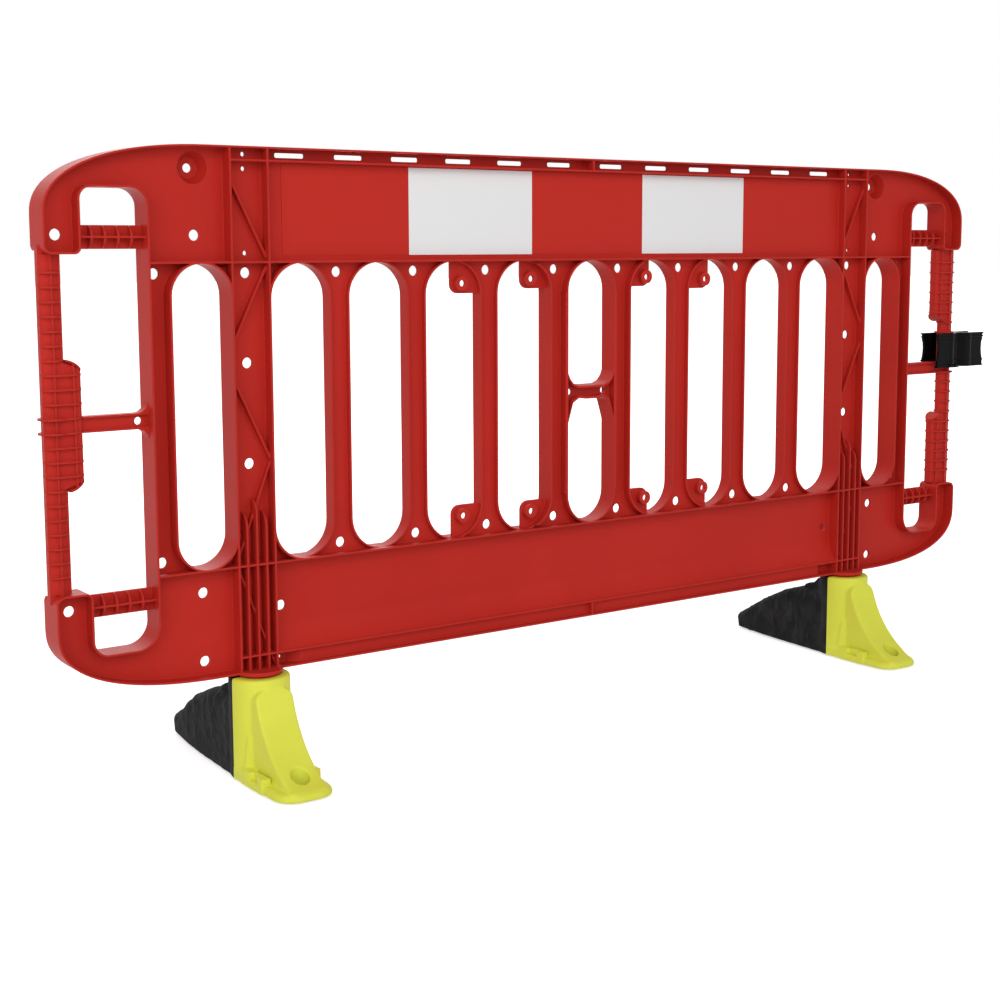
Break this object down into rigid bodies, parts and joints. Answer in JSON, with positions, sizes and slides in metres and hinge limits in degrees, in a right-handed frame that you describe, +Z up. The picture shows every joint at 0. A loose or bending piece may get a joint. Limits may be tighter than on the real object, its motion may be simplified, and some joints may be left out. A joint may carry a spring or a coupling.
{
  "type": "pedestrian barrier panel",
  "caption": "Slotted plastic pedestrian barrier panel with arched vertical bars, reflective top band, ribbed end posts, swivelling weighted feet and a connector clip.",
  "frame": {"origin": "on the ground at mid-length, in the panel's centre plane", "axes": "+X along the panel towards the clip end, +Y to the rear where the heels point, +Z up"},
  "size_m": [2.0959, 0.4779, 1],
  "materials": {
    "red_plastic": "satin moulded plastic",
    "red_sheet": "reflective sheet",
    "white_sheet": "reflective sheet",
    "yellow_plastic": "satin moulded plastic",
    "black_rubber": "mottled recycled rubber",
    "black_plastic": "gloss",
    "steel": "zinc plated"
  },
  "bodies": {
    "panel": {"top_rail": "red_plastic", "kick_board": "red_plastic", "upper_gussets": "red_plastic", "lower_gussets": "red_plastic", "bar_1": "red_plastic", "bar_2": "red_plastic", "bar_3": "red_plastic", "bar_4": "red_plastic", "bar_5": "red_plastic", "bar_6": "red_plastic", "bar_7": "red_plastic", "bar_8": "red_plastic", "left_upright": "red_plastic", "right_upright": "red_plastic", "left_hub": "red_plastic", "right_hub": "red_plastic", "left_top_corner": "red_plastic", "right_top_corner": "red_plastic", "left_low_corner": "red_plastic", "right_low_corner": "red_plastic", "left_top_hook": "red_plastic", "right_top_hook": "red_plastic", "left_low_hook": "red_plastic", "right_low_hook": "red_plastic", "left_stile": "red_plastic", "right_stile": "red_plastic", "left_end_post": "red_plastic", "right_end_post": "red_plastic", "left_top_grip": "red_plastic", "right_top_grip": "red_plastic", "left_low_grip": "red_plastic", "right_low_grip": "red_plastic", "left_brace": "red_plastic", "right_brace": "red_plastic", "carry_handle": "red_plastic", "sign_lugs": "red_plastic", "red_sheets": "red_sheet", "white_sheets": "white_sheet", "left_washer": "steel", "left_bolt": "steel", "right_washer": "steel", "right_bolt": "steel"},
    "left_foot": {"left_toe": "yellow_plastic", "left_heel": "black_rubber"},
    "right_foot": {"right_toe": "yellow_plastic", "right_heel": "black_rubber"},
    "clip": {"connector_clip": "black_plastic"}
  },
  "joints": [
    {"name": "left_foot_swivel", "type": "hinge", "parent": "panel", "child": "left_foot", "pos_m": [-0.6715, -0.019, 0.1], "axis": [0, 0, 1], "range_deg": [0, 90]},
    {"name": "right_foot_swivel", "type": "hinge", "parent": "panel", "child": "right_foot", "pos_m": [0.6715, -0.019, 0.1], "axis": [0, 0, 1], "range_deg": [-90, 0]},
    {"name": "clip_swivel", "type": "hinge", "parent": "panel", "child": "clip", "pos_m": [0.9855, 0, 0.6216], "axis": [0, 0, 1], "range_deg": [-10, 10]}
  ]
}
